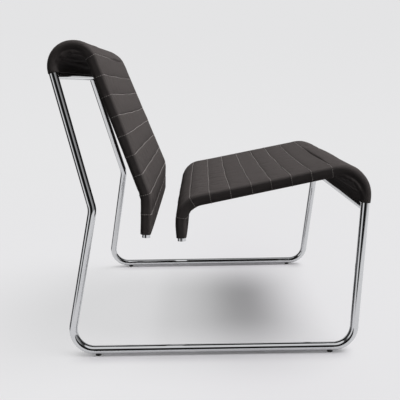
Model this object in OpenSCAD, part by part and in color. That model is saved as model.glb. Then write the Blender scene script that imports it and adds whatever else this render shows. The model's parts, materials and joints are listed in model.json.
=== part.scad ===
// Cantilever lounge chair: two bent side tubes, cross bars, and two quilted sleeves
// that are pulled over the free tube ends. Millimetres. The chair faces -Y, +Z is up,
// and the origin lies on the floor under the middle of the chair.
// Every tube lies in a side plane that leans inwards. A point in that plane is written
// [y, s]: y runs to the rear from the front floor corner, s up the plane from the rail.

/* [Side tubes] */
// Outer diameter of the side tubes
tube_d = 20; // [18:0.5:22]
// Wall of the side tubes
tube_wall = 2; // [1.5:0.25:2.5]
// Distance between the centre lines of the two floor rails
rail_span = 586; // [540:1:640]
// Inward lean of each side frame, degrees
side_lean = 7.5; // [5:0.5:9]
// Floor rail, corner to corner
rail_l = 686; // [640:1:740]
// Bend radius at the floor corners and at the knee
bend_r = 50; // [40:1:60]

/* [Seat line] */
// Front leg, floor corner to seat corner, measured up the side plane
front_leg_h = 442; // [420:1:470]
// Forward lean of the front leg, degrees
front_leg_lean = 4; // [2:0.5:6]
// Seat run, front corner to rear corner
seat_run = 448; // [420:1:480]
// Slope of the seat, falling to the rear, degrees
seat_slope = 11; // [8:0.5:14]
// Bend radius at the front of the seat
seat_front_r = 64; // [56:1:70]
// Bend radius at the rear of the seat
seat_rear_r = 54; // [46:1:56]
// Drop of the tube behind the seat, rear corner to free end
seat_drop = 92; // [88:1:105]

/* [Back line] */
// Rear leg, floor corner to knee, measured up the side plane
knee_h = 342; // [310:1:370]
// Backward lean of the rear leg below the knee, degrees
rear_leg_lean = 11.3; // [9:0.1:13]
// Upright, knee corner to the start of the top turn
upright_l = 326; // [300:1:350]
// Backward lean of the upright, degrees
upright_lean = 13.75; // [11:0.25:15]
// Radius of the turn over the top of the back
top_turn_r = 48.5; // [44:0.5:54]
// Back rest run, end of the top turn to the lower corner
back_run = 335; // [310:1:360]
// Backward lean of the back rest, degrees
back_lean = 20; // [18:0.5:23]
// Bend radius at the foot of the back rest
back_foot_r = 64; // [50:1:80]
// Drop of the tube below the back rest, lower corner to free end
back_drop = 98; // [92:1:115]
// Lean of that drop, falling to the rear, degrees
back_drop_lean = 3; // [0:0.5:6]

/* [Cross bars] */
// Outer diameter of the two welded cross bars
bar_d = 14; // [12:0.5:14]
// Wall of the cross bars
bar_wall = 1.5; // [1:0.25:2]
// Place of the top cross bar, down the upright from the top turn
top_bar_drop = 7.5; // [7.5:0.5:20]
// Place of the front cross bar, down the front leg from the seat's front bend
front_bar_drop = 25; // [22:1:60]
// Diameter of the spreader bars hidden in the sleeves
spreader_d = 14; // [12:0.5:14]
// Place of the spreader bars, up from the free tube ends
spreader_at = 26; // [24:1:28]

/* [Screws, plugs and glides] */
// Thread diameter of the countersunk spreader screws
screw_d = 6; // [5:0.5:6]
// Head diameter of the spreader screws
screw_head_d = 10; // [9:0.5:10]
// Depth of the thread in the spreader bar
screw_grip = 20; // [15:1:30]
// Length of the plugs in the free tube ends
plug_l = 14; // [8:0.5:15]
// Diameter of the floor glides
glide_d = 14; // [12:0.5:16]
// Height of a glide below the tube
glide_h = 3.5; // [2.5:0.5:6]
// Diameter of the glide's stem
glide_stem_d = 6; // [4:0.5:7]
// Distance from a floor bend to the glide
glide_inset = 8; // [8:1:40]

/* [Sleeves] */
// Radius of the sleeve over a side tube
pad_r = 12.9; // [12.9:0.1:15]
// How far the sides are drawn in at a seam
draw_in = 0.4; // [0:0.1:0.5]
// Crown of the sitting side at a seam
crown = 1; // [0:0.25:3]
// Extra rise of the sitting side between two seams
puff = 2; // [0.5:0.25:4]
// Rise of the reverse side between two seams
under_puff = 0.8; // [0:0.1:2]
// Distance from seam to seam
seam_pitch = 48; // [44:0.5:49]
// Number of sewn seams across each sleeve
seams = 9; // [6:1:9]
// Bare tube below the free end of a sleeve
bare_end = 9; // [6:0.5:12]
// End of the seat sleeve, down the front leg from the seat's front bend
seat_sleeve_drop = 13; // [4:0.5:14]
// End of the back sleeve, down the upright from the top turn
back_sleeve_drop = 2; // [1:0.5:6]

/* [Inside the sleeves] */
// Radius of the hollow in the sleeve, round each side tube and between them
hollow_r = 11.45; // [11.4:0.05:11.5]
// Thickness of one foam layer
foam_h = 9.6; // [7:0.1:9.6]
// Thickness of the suspension sheet
sling_h = 1.5; // [1:0.1:1.6]
// Thickness of the sheet's hem round the tube
hem_h = 0.5; // [0.4:0.05:0.5]
// Thickness of the closing strip in the sleeve's free end
strip_h = 2; // [1:0.25:3]

/* [Hidden] */
$fn = 64;
// clearance between soft layers
soft_gap = 0.3;
// clearance of a sheet's hem on its tube
hem_gap = 0.1;
// clearance of a foam layer on the suspension sheet
layer_gap = 0.2;
// clearance of a screw, stem or plug in its hole
hole_gap = 0.1;
// overrun of every cut
over = 5;
// distance kept between a bar and the soft layers that end beside it
end_gap = 2;
// extra thickness on either side of a tube or a layer in its bends
bend_swell = 0.05;
// how far a straight run reaches into the bends at its ends
lap = 0.5;
// height of a screw's countersunk head
head_h = (screw_head_d - screw_d) / 2;
// how deep that head lies in the side of the tube
head_sink = head_h / 4;
// how far a glide's stem reaches through the rail's wall
stem_reach = 2 * tube_wall;
// share of the rail's radius that a glide's cheeks rise beside it
cheek_share = 0.3;

tube_r = tube_d / 2;
bore_r = tube_r - tube_wall;
rail_z = tube_r + glide_h;
half_span = rail_span / 2;

// Directions in the side plane, by their backward lean from straight up.
function toward(lean) = [sin(lean), cos(lean)];
// Corners of the side tube.
floor_front = [0, 0];
floor_rear = [rail_l, 0];
leg_dir = toward(-front_leg_lean);
seat_front = floor_front + leg_dir * front_leg_h / cos(front_leg_lean);
seat_rear = seat_front + [cos(seat_slope), -sin(seat_slope)] * seat_run;
seat_end = seat_rear - [0, seat_drop];
knee = floor_rear + toward(-rear_leg_lean) * knee_h / cos(rear_leg_lean);
upright_dir = toward(upright_lean);
back_dir = toward(back_lean);
// The top turn is so wide that its corner is far above the chair.
top_turn = 180 - back_lean + upright_lean;
top_tan = top_turn_r * tan(top_turn / 2);
top_corner = knee + upright_dir * (upright_l + top_tan);
back_foot = top_corner - back_dir * (top_tan + back_run);
back_end = back_foot - toward(-back_drop_lean) * back_drop;
turn_start = knee + upright_dir * upright_l;
turn_centre = turn_start + [-upright_dir[1], upright_dir[0]] * top_turn_r;

tube_path = [seat_end, seat_rear, seat_front, floor_front, floor_rear,
             knee, top_corner, back_foot, back_end];
tube_radii = [0, seat_rear_r, seat_front_r, bend_r, bend_r,
              bend_r, top_turn_r, back_foot_r, 0];

// A stretch of the seat: from low up the rear drop to high up the front leg.
function seat_stretch(low, high) =
    [seat_end + [0, low], seat_rear, seat_front, floor_front + leg_dir * high];
seat_radii = [0, seat_rear_r, seat_front_r, 0];
// A stretch of the back: from low up the lower drop to high up the upright.
function back_stretch(low, high) =
    [back_end + toward(-back_drop_lean) * low, back_foot, top_corner, knee + upright_dir * high];
back_radii = [0, back_foot_r, top_turn_r, 0];

// Geometry of a path of corners with a radius at each.
function heading(p, i) = atan2(p[i + 1][1] - p[i][1], p[i + 1][0] - p[i][0]);
function turn(p, i) = let (a = heading(p, i) - heading(p, i - 1)) a > 180 ? a - 360 : a < -180 ? a + 360 : a;
function tangent(p, r, i) = i == 0 || i == len(p) - 1 ? 0 : r[i] * tan(abs(turn(p, i)) / 2);
function run_l(p, r, i) = norm(p[i + 1] - p[i]) - tangent(p, r, i) - tangent(p, r, i + 1);
function arc_l(p, r, i) = i == 0 || i == len(p) - 1 ? 0 : r[i] * abs(turn(p, i)) * PI / 180;
function ahead(a) = [cos(a), sin(a)];
function left_of(a) = [-sin(a), cos(a)];
// Place and heading at the distance u along a path.
function place(p, r, u, i = 0) =
    let (l = run_l(p, r, i), a = arc_l(p, r, i + 1), h = heading(p, i),
         start = p[i] + ahead(h) * tangent(p, r, i))
    u <= l || i == len(p) - 2 ? [start + ahead(h) * u, h]
    : u > l + a ? place(p, r, u - l - a, i + 1)
    : let (s = sign(turn(p, i + 1)), b = h + s * (u - l) / r[i + 1] * 180 / PI,
           c = start + ahead(h) * l + left_of(h) * s * r[i + 1])
      [c - left_of(b) * s * r[i + 1], b];
function path_l(p, r, i = 0) =
    i == len(p) - 2 ? run_l(p, r, i) : run_l(p, r, i) + arc_l(p, r, i + 1) + path_l(p, r, i + 1);
// Distance along a path at which the bend at corner i begins.
function bend_at(p, r, i) = i == 0 ? 0 : bend_at(p, r, i - 1) + arc_l(p, r, i - 1) + run_l(p, r, i - 1);
// The same path seen square from the side, where the lean shortens its height.
function upright_view(p) = [for (q = p) [q[0], q[1] * cos(side_lean)]];
// Half the distance between the two tubes at the height s.
function half_width(s) = half_span - s * sin(side_lean);

// Puts the model's own zero, the front floor corner, in its place over the origin.
module in_chair() {
    translate([0, -origin_y, rail_z]) children();
}
// Turns a drawing in [y, s] upright, and leans it into the left or the right side plane.
module on_side(side) {
    translate([side * half_span, 0, 0])
        rotate([0, -side * side_lean, 0])
            rotate([90, 0, 90]) children();
}
module both_sides() {
    for (side = [-1, 1]) on_side(side) children();
}
// A round tube with a bore.
module tube(outer, inner, h) {
    difference() {
        cylinder(r = outer, h = h);
        translate([0, 0, -over]) cylinder(r = inner, h = h + 2 * over);
    }
}
// The straight run after corner i of a path, with its own z along the run.
module on_run(p, r, i) {
    translate(p[i] + ahead(heading(p, i)) * tangent(p, r, i)) rotate([0, 90, heading(p, i)]) children();
}
// A straight run ends inside the slightly thicker bends: its laps below and above.
function lap_low(i) = i == 0 ? 0 : lap;
function lap_high(p, i) = i == len(p) - 2 ? 0 : lap;
function lapped_l(p, r, i) = run_l(p, r, i) + lap_low(i) + lap_high(p, i);
// A round tube along a path.
module pipe(p, r, outer, inner) {
    for (i = [0:len(p) - 2])
        on_run(p, r, i) translate([0, 0, -lap_low(i)]) tube(outer, inner, lapped_l(p, r, i));
    for (i = [1:len(p) - 2])
        bend(p, r, i) translate([r[i], 0]) difference() {
            circle(r = outer + bend_swell);
            circle(r = inner - bend_swell);
        }
}
// Swings a section through the bend at corner i. The section's x is the distance from
// the bend's centre.
module bend(p, r, i) {
    s = sign(turn(p, i));
    h = heading(p, i - 1);
    c = p[i] - ahead(h) * tangent(p, r, i) + left_of(h) * s * r[i];
    translate(c) rotate([0, 0, s > 0 ? h - 90 : h + 90 + turn(p, i)])
        rotate_extrude(angle = abs(turn(p, i))) children();
}
// A flat layer along a path, from the height low to the height high on its left side.
module layer(p, r, low, high) {
    for (i = [0:len(p) - 2])
        if (lapped_l(p, r, i) > 2 * lap)
            translate(p[i] + ahead(heading(p, i)) * tangent(p, r, i))
                rotate([0, 0, heading(p, i)])
                    translate([-lap_low(i), low, -half_span])
                        cube([lapped_l(p, r, i), high - low, rail_span]);
    for (i = [1:len(p) - 2])
        bend(p, r, i)
            translate([(turn(p, i) > 0 ? r[i] - high : r[i] + low) - bend_swell, -half_span])
                square([high - low + 2 * bend_swell, rail_span]);
}
// The same layer, seen upright and trimmed at both sides, inset from the tubes' centres.
module panel(p, r, low, high, inset) {
    reach = 2 * path_l(p, r);
    intersection() {
        rotate([90, 0, 90]) layer(upright_view(p), r, low, high);
        translate([0, reach, 0]) rotate([90, 0, 0]) linear_extrude(2 * reach)
            polygon([[half_width(0) - inset, 0], [half_width(reach) - inset, reach * cos(side_lean)],
                     [inset - half_width(reach), reach * cos(side_lean)], [inset - half_width(0), 0]]);
    }
}
// A round bar across the chair, between the centre lines of the tubes, at the point at.
module across(at, d) {
    translate([-half_width(at[1]), at[0], at[1] * cos(side_lean)])
        rotate([0, 90, 0]) cylinder(d = d, h = 2 * half_width(at[1]));
}

// A sleeve is rings of points along its path: an outer skin with the sewn channels, and
// an inner skin round the hollow for the tubes and what is stretched between them.
// Shares of the half width at which the sitting side and the reverse side have points.
top_shares = [-0.6, 0, 0.6];
under_shares = [0];
edge_steps = 8;
curl_steps = 10;
inner_step = 15;
// Share of the full swell at the distance u from the sleeve's free end.
function swell(u, last) = u < last ? sin(180 * (u / seam_pitch - floor(u / seam_pitch)))
    : sin(min(90, 180 * (u - last) / seam_pitch));
function bow(share) = 1 - pow(abs(share), 4);
// One ring: a round edge of radius e over each tube, and between them a rise over the edge.
function ring(p, r, u, side, e, over_rise, under_rise) =
    let (at = place(p, r, u), w = half_width(at[0][1]),
         ahead_view = [cos(at[1]), sin(at[1]) * cos(side_lean)], n = ahead_view / norm(ahead_view),
         base = [at[0][0], at[0][1] * cos(side_lean)],
         section = concat(
             [for (k = [0:edge_steps]) let (a = 90 - 180 * k / edge_steps) [w + e * cos(a), e * sin(a)]],
             [for (q = under_shares) [q * w, -e - under_rise * bow(q)]],
             [for (k = [0:edge_steps]) let (a = 180 * k / edge_steps - 90) [-w - e * cos(a), e * sin(a)]],
             [for (q = top_shares) [q * w, e + over_rise * bow(q)]]))
    [for (q = section) [q[0], base[0] - side * n[1] * q[1], base[1] + side * n[0] * q[1]]];
function outer_rings(p, r, side) =
    let (total = path_l(p, r), last = seams * seam_pitch,
         stations = concat([for (i = [0:seams - 1], k = [0:2]) seam_pitch * (i + k / 3)],
                           [for (k = [0:curl_steps]) last + (total - last) * k / curl_steps]))
    [for (u = stations) let (g = swell(u, last))
        ring(p, r, u, side, pad_r - draw_in * (1 - g), crown + puff * g, under_puff * g)];
function inner_rings(p, r, side) =
    let (stations = concat([0], [for (i = [1:len(p) - 2]) let (steps = ceil(abs(turn(p, i)) / inner_step))
                                for (k = [0:steps]) bend_at(p, r, i) + arc_l(p, r, i) * k / steps], [path_l(p, r)]))
    [for (u = stations) ring(p, r, u, side, hollow_r, 0, 0)];
// Triangles between the rings of one skin, and between the first rings of two skins.
function wall(first, count, n) = [for (j = [0:count - 2], k = [0:n - 1])
    let (a = first + j * n + k, b = first + j * n + (k + 1) % n) each [[a, b, b + n], [a, b + n, a + n]]];
function rim(outer, inner, n) = [for (k = [0:n - 1])
    let (j = (k + 1) % n) each [[outer + k, inner + j, outer + j], [outer + k, inner + k, inner + j]]];
function flipped(faces) = [for (f = faces) [f[2], f[1], f[0]]];
module skin(outer, inner, side) {
    n = len(outer[0]);
    start = len(outer) * n;
    outer_end = start - n;
    inner_end = start + (len(inner) - 1) * n;
    faces = concat(wall(0, len(outer), n), flipped(wall(start, len(inner), n)),
                   rim(0, start, n), flipped(rim(outer_end, inner_end, n)));
    polyhedron([for (rings = [outer, inner], one = rings, q = one) q], side > 0 ? flipped(faces) : faces);
}
// Ends of the sleeves, up the leg and the upright from the corners below.
leg_l = front_leg_h / cos(front_leg_lean);
leg_bend_at = leg_l - tangent(tube_path, tube_radii, 2);
seat_sleeve = seat_stretch(bare_end, leg_bend_at - seat_sleeve_drop);
back_sleeve = back_stretch(bare_end, upright_l - back_sleeve_drop);
seat_side = -1;
back_side = 1;
seat_rings = outer_rings(seat_sleeve, seat_radii, seat_side);
back_rings = outer_rings(back_sleeve, back_radii, back_side);

// The origin lies under the middle between the foremost and the rearmost point.
front_reach = min([for (r = seat_rings, q = r) q[1]]);
rear_bend_y = rail_l - tangent(tube_path, tube_radii, 4) + bend_r + tube_r;
rear_reach = max(rear_bend_y, max([for (r = back_rings, q = r) q[1]]));
origin_y = (front_reach + rear_reach) / 2;

// Places on the tubes.
top_bar_point = knee + upright_dir * (upright_l - top_bar_drop);
front_bar_point = floor_front + leg_dir * (leg_bend_at - front_bar_drop);
seat_spreader_point = seat_end + [0, spreader_at];
back_spreader_point = back_end + toward(-back_drop_lean) * spreader_at;
front_glide_y = tangent(tube_path, tube_radii, 3) + glide_inset;
rear_glide_y = rail_l - tangent(tube_path, tube_radii, 4) - glide_inset;
soft_start = spreader_at + spreader_d / 2 + end_gap;
seat_soft = seat_stretch(soft_start, leg_bend_at - seat_sleeve_drop + soft_gap);
back_soft = back_stretch(soft_start, upright_l);
hem_r = tube_r + hem_gap + hem_h;

// Countersunk screw that lies along +X. Its head is flush at zero, under a round mouth.
module countersunk(gap, grip, mouth) {
    rotate([0, 90, 0]) {
        cylinder(d = screw_d + 2 * gap, h = grip);
        cylinder(d1 = screw_head_d + 2 * gap, d2 = screw_d + 2 * gap, h = head_h);
        translate([0, 0, -mouth]) cylinder(d = screw_head_d + 2 * gap, h = mouth);
    }
}
// Two screws that point inwards through the side tubes at the point at.
module screw_pair(at, gap, mouth) {
    for (side = [-1, 1])
        mirror([side > 0 ? 1 : 0, 0, 0])
            translate([-half_width(at[1]) - tube_r + head_sink, at[0], at[1] * cos(side_lean)])
                countersunk(gap, tube_d + screw_grip, mouth);
}

module side_tube(side) {
    color("silver") in_chair() difference() {
        on_side(side) pipe(tube_path, tube_radii, tube_r, bore_r);
        for (y = [front_glide_y, rear_glide_y])
            translate([side * half_span, y, -tube_d]) cylinder(d = glide_stem_d + 2 * hole_gap, h = tube_d);
        for (at = [seat_spreader_point, back_spreader_point])
            screw_pair(at, hole_gap, tube_r);
    }
}
module side_tube_left() {
    side_tube(1);
}
module side_tube_right() {
    side_tube(-1);
}

// What the straight run of the tubes after corner i leaves of a bar that meets them.
module coped(i) {
    difference() {
        children();
        both_sides() on_run(tube_path, tube_radii, i) cylinder(r = tube_r, h = run_l(tube_path, tube_radii, i));
    }
}
module top_crossbar() {
    color("silver") in_chair() coped(5) difference() {
        across(top_bar_point, bar_d);
        across(top_bar_point, bar_d - 2 * bar_wall);
    }
}
module front_crossbar() {
    color("silver") in_chair() coped(2) difference() {
        across(front_bar_point, bar_d);
        across(front_bar_point, bar_d - 2 * bar_wall);
    }
}
module spreader(at, run) {
    color("dimgray") in_chair() difference() {
        coped(run) across(at, spreader_d);
        screw_pair(at, hole_gap, 0);
    }
}
module seat_spreader() {
    spreader(seat_spreader_point, 0);
}
module back_spreader() {
    spreader(back_spreader_point, 7);
}
module seat_spreader_screws() {
    color("gray") in_chair() screw_pair(seat_spreader_point, 0, 0);
}
module back_spreader_screws() {
    color("gray") in_chair() screw_pair(back_spreader_point, 0, 0);
}

// Plugs that close the free ends of both tubes, flush with the ends.
module plug_pair(stretch) {
    color([0.08, 0.08, 0.08]) in_chair() both_sides()
        translate(stretch[0]) rotate([0, 90, heading(stretch, 0)])
            cylinder(r = bore_r - hole_gap / 2, h = plug_l);
}
module seat_tube_plugs() {
    plug_pair(seat_stretch(0, leg_bend_at));
}
module back_tube_plugs() {
    plug_pair(back_stretch(0, upright_l));
}

// A round glide with a saddle for the rail and a stem in the rail's lower wall.
module glide(side, y) {
    color([0.08, 0.08, 0.08]) in_chair() translate([side * half_span, y, 0]) {
        difference() {
            translate([0, 0, -rail_z]) cylinder(d = glide_d, h = glide_h + tube_r * cheek_share);
            translate([0, glide_d, 0]) rotate([90, 0, 0]) cylinder(r = tube_r, h = 2 * glide_d);
        }
        translate([0, 0, -tube_r - glide_h / 2]) cylinder(d = glide_stem_d, h = glide_h / 2 + stem_reach);
    }
}
module front_glide_left() {
    glide(1, front_glide_y);
}
module front_glide_right() {
    glide(-1, front_glide_y);
}
module rear_glide_left() {
    glide(1, rear_glide_y);
}
module rear_glide_right() {
    glide(-1, rear_glide_y);
}

// A quilted sleeve: the sewn outline round a hollow that is open at both ends.
module seat_cover() {
    color([0.2, 0.19, 0.185]) in_chair()
        skin(seat_rings, inner_rings(seat_sleeve, seat_radii, seat_side), seat_side);
}
module back_cover() {
    color([0.2, 0.19, 0.185]) in_chair()
        skin(back_rings, inner_rings(back_sleeve, back_radii, back_side), back_side);
}

// A foam layer that lies on the left or the right side of the suspension sheet.
module foam(stretch, radii, side) {
    low = sling_h / 2 + layer_gap;
    panel(stretch, radii, side > 0 ? low : -low - foam_h, side > 0 ? low + foam_h : -low, hem_r + soft_gap);
}
// A suspension sheet, with a hem round each tube on the straight runs.
module sling(stretch, radii) {
    panel(stretch, radii, -sling_h / 2, sling_h / 2, hem_r - hem_h / 2);
    both_sides() for (i = [0:len(stretch) - 2])
        if (run_l(stretch, radii, i) > 2 * end_gap)
            on_run(stretch, radii, i) translate([0, 0, end_gap])
                tube(hem_r, hem_r - hem_h, run_l(stretch, radii, i) - 2 * end_gap);
}
// Keeps the soft layers of the back clear of the top cross bar.
module clear_of_bar() {
    difference() {
        children();
        across(top_bar_point, bar_d + 2 * end_gap);
    }
}
module seat_foam_upper() {
    color("wheat") in_chair() foam(seat_soft, seat_radii, seat_side);
}
module seat_foam_lower() {
    color("tan") in_chair() foam(seat_soft, seat_radii, -seat_side);
}
module seat_sling() {
    color("darkslategray") in_chair() sling(seat_soft, seat_radii);
}
module back_foam_front() {
    color("wheat") in_chair() clear_of_bar() foam(back_soft, back_radii, back_side);
}
module back_foam_rear() {
    color("tan") in_chair() clear_of_bar() foam(back_soft, back_radii, -back_side);
}
module back_sling() {
    color("darkslategray") in_chair() clear_of_bar() sling(back_soft, back_radii);
}

// Strip that closes the free end of a sleeve between the tubes.
module hem_strip(stretch, radii) {
    h = hollow_r - 2 * soft_gap;
    color([0.12, 0.12, 0.12]) in_chair() intersection() {
        panel(stretch, radii, -h, h, tube_r + soft_gap);
        rotate([90, 0, 90]) translate(upright_view(stretch)[0]) rotate([0, 0, heading(upright_view(stretch), 0)])
            translate([0, -tube_d, -half_span]) cube([strip_h, 2 * tube_d, rail_span]);
    }
}
module seat_hem_strip() {
    hem_strip(seat_sleeve, seat_radii);
}
module back_hem_strip() {
    hem_strip(back_sleeve, back_radii);
}

side_tube_left();
side_tube_right();
top_crossbar();
front_crossbar();
seat_spreader();
back_spreader();
seat_spreader_screws();
back_spreader_screws();
seat_tube_plugs();
back_tube_plugs();
front_glide_left();
front_glide_right();
rear_glide_left();
rear_glide_right();
seat_cover();
seat_foam_upper();
seat_foam_lower();
seat_sling();
seat_hem_strip();
back_cover();
back_foam_front();
back_foam_rear();
back_sling();
back_hem_strip();
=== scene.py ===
# %% [markdown]
# # A cantilever lounge chair in its studio
# Two bent steel tubes carry two quilted sleeves. The metal frame comes ready made, at its
# real size. This lesson sews the sleeves over it, stitches them, gives every surface its
# finish, and sets up the floor, the lights and the camera. Lengths are in metres.

# %% Load the frame
import json
import math

import bpy
import numpy as np
from mathutils import Matrix, Vector
from mathutils.geometry import delaunay_2d_cdt

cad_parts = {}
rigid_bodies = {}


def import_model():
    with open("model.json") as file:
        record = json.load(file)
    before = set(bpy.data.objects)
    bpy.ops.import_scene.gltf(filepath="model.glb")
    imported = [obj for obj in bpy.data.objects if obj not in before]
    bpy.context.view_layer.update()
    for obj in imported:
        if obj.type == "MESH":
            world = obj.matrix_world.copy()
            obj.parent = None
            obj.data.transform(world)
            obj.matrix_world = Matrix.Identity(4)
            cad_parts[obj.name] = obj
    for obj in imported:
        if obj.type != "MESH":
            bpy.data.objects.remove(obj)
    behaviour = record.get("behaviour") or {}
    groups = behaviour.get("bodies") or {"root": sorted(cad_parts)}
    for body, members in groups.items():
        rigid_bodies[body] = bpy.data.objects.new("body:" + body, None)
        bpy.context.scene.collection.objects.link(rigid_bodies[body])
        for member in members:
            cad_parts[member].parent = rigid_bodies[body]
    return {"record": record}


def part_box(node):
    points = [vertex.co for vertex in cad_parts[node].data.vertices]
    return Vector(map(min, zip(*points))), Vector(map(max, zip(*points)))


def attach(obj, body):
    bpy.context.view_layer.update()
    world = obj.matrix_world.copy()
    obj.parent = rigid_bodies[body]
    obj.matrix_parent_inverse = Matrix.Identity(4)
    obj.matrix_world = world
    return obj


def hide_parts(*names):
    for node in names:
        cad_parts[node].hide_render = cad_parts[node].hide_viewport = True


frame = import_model()
bpy.context.view_layer.update()

# %% [markdown]
# ## The line that the tubes follow
# Each side tube lies in a plane that leans inwards. In that plane a point is (y, s): y runs
# to the rear from the front floor corner, and s runs up the plane from the floor rail. The
# line has sharp corners, each with a bend radius. We could trace a curve by hand, but a
# rule gives the exact place and direction at any distance along the tube, and the sleeves
# need that at every seam.

# %% Sizes of the side frame
MM = 0.001
TINY = 1e-9
SIDE_LEAN = math.radians(7.5)
HALF_SPAN = 293 * MM
RAIL_Z = 13.5 * MM
TUBE_R = 10 * MM
# How many degrees each run leans to the rear of upright, and how steeply the seat falls.
FRONT_LEG_LEAN, REAR_LEG_LEAN, UPRIGHT_LEAN, BACK_LEAN, BACK_END_LEAN = -4, -11.3, 13.75, 20, -3
SEAT_FALL = 11
# The legs are given by their heights, and the other runs by their lengths.
FRONT_LEG_H, REAR_LEG_H, RAIL_L = 442 * MM, 342 * MM, 686 * MM
SEAT_L, SEAT_END_L, UPRIGHT_L, BACK_L, BACK_END_L = 448 * MM, 92 * MM, 326 * MM, 335 * MM, 98 * MM
# Radii of the bends.
FLOOR_R, SEAT_FRONT_R, SEAT_REAR_R, BACK_FOOT_R, TOP_R = 50 * MM, 64 * MM, 54 * MM, 64 * MM, 48.5 * MM


def toward(lean):
    """A unit step up the side plane, leaning to the rear by that many degrees."""
    angle = math.radians(lean)
    return np.array([math.sin(angle), math.cos(angle)])


def leg(lean, height):
    return toward(lean) * height / math.cos(math.radians(lean))


seat_front = leg(FRONT_LEG_LEAN, FRONT_LEG_H)
seat_rear = seat_front + toward(90 + SEAT_FALL) * SEAT_L
seat_end = seat_rear - toward(0) * SEAT_END_L
knee = np.array([RAIL_L, 0]) + leg(REAR_LEG_LEAN, REAR_LEG_H)
top_tangent = TOP_R * math.tan(math.radians(180 - BACK_LEAN + UPRIGHT_LEAN) / 2)
top_corner = knee + toward(UPRIGHT_LEAN) * (UPRIGHT_L + top_tangent)
back_foot = top_corner - toward(BACK_LEAN) * (top_tangent + BACK_L)
back_end = back_foot - toward(BACK_END_LEAN) * BACK_END_L
print("seat front corner", seat_front.round(4), "back foot corner", back_foot.round(4))


# %% Walk along a line of runs and bends
def unit(vector):
    return vector / np.linalg.norm(vector)


class Line:
    """Straight runs and round bends through corners, walked by the distance along them."""

    def __init__(self, corners, radii):
        self.pieces = []
        start = corners[0]
        for corner, following, radius in zip(corners[1:-1], corners[2:], radii):
            ahead, after = unit(corner - start), unit(following - corner)
            turn = math.atan2(ahead[0] * after[1] - ahead[1] * after[0], ahead @ after)
            tangent, bend = radius * math.tan(abs(turn) / 2), radius * abs(turn)
            self.pieces.append((np.linalg.norm(corner - start) - tangent, start, ahead, 0.0))
            self.pieces.append((bend, corner - ahead * tangent, ahead, turn / bend))
            start = corner + after * tangent
        rest = corners[-1] - start
        self.pieces.append((np.linalg.norm(rest), start, unit(rest), 0.0))
        self.length = sum(piece[0] for piece in self.pieces)

    def at(self, u):
        """Place and direction at the distance u. A curvature of zero is a straight run."""
        passed = 0
        while passed < len(self.pieces) - 1 and u > self.pieces[passed][0] + TINY:
            u -= self.pieces[passed][0]
            passed += 1
        _, start, ahead, curve = self.pieces[passed]
        if abs(curve) < TINY:
            return start + ahead * u, ahead
        angle = curve * u
        left = np.array([-ahead[1], ahead[0]])
        place = start + (ahead * math.sin(angle) + left * (1 - math.cos(angle))) / curve
        return place, ahead * math.cos(angle) + left * math.sin(angle)


# Each sleeve stops short of the tubes' free ends and of the front leg's bend, and ends just
# past the top bend.
SHORT, PAST_TOP = 9 * MM, 0.5 * MM
leg_bend_at = np.linalg.norm(seat_front) - SEAT_FRONT_R * math.tan(
    math.radians(90 + SEAT_FALL - FRONT_LEG_LEAN) / 2)
seat_line = Line([seat_end + toward(0) * SHORT, seat_rear, seat_front,
                  toward(FRONT_LEG_LEAN) * (leg_bend_at - SHORT)], [SEAT_REAR_R, SEAT_FRONT_R])
back_line = Line([back_end + toward(BACK_END_LEAN) * SHORT, back_foot, top_corner,
                  knee + toward(UPRIGHT_LEAN) * (UPRIGHT_L - PAST_TOP)], [BACK_FOOT_R, TOP_R])
# The glides show where the frame lies: each starts 8 mm past its floor bend.
GLIDE_PAST_BEND = 8 * MM
glide_y = sum(corner.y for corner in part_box("front_glide_left")) / 2
ORIGIN_Y = FLOOR_R * math.tan(math.radians(90 + FRONT_LEG_LEAN) / 2) + GLIDE_PAST_BEND - glide_y
print("sleeve lines", round(seat_line.length, 4), round(back_line.length, 4), "origin", round(ORIGIN_Y, 4))

# %% [markdown]
# ## What the fabric does along each line
# A real sleeve isn't even: foam fills the bends, folds gather inside the curls, seams wander
# and the slack between the tubes hangs out. All of that could be sculpted by hand. Short
# tables by the distance along the sleeve are easier to read and to change, so each line
# carries its own. Unless a comment says otherwise, they are in mm.

# %% Tables of the fabric's habits
# How much further the sitting side and the reverse side stand out, by the distance along
# the sleeve. Foam fills the inside of each bend, and the last panel of each sleeve isn't
# sewn through, so it stands a little higher. The start of the seat is pulled flat.
seat_line.sit_fill = [(0, 1.6), (60, 2.2), (110, 1.0), (150, 0), (434, 0), (455, 2.0), (490, 3.2),
                      (520, 2.6), (550, 0.8), (564, 0.4)]
seat_line.reverse_fill = [(0, -2.5), (20, -2.5), (50, -2), (72, 1.5), (90, 3), (110, 2.8), (430, 2.6),
                          (462, 5.5), (500, 7.0), (530, 4.5), (552, 0.6), (564, 0)]
back_line.sit_fill = [(0, 0), (434, 0), (460, 0.8), (520, 1.2), (550, 0.4), (573, 0)]
back_line.reverse_fill = [(0, 0), (40, 0), (100, 1.6), (200, 1.0), (430, 0.6), (462, 4), (500, 6.5),
                          (535, 4), (556, 0.6), (573, 0)]
# How much further the reverse side stands out between the tubes than beside them.
seat_line.belly = [(0, 1), (18, 3.2), (40, 5), (60, 4), (90, 0), (564, 0)]
back_line.belly = [(0, 0.8), (18, 2.5), (60, 3), (120, 1), (573, 0)]
# How much longer the fabric hangs at the far end, beside the tubes and in the middle.
seat_line.hang, back_line.hang = (1.2, 8.5), (0.2, 0.5)
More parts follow.
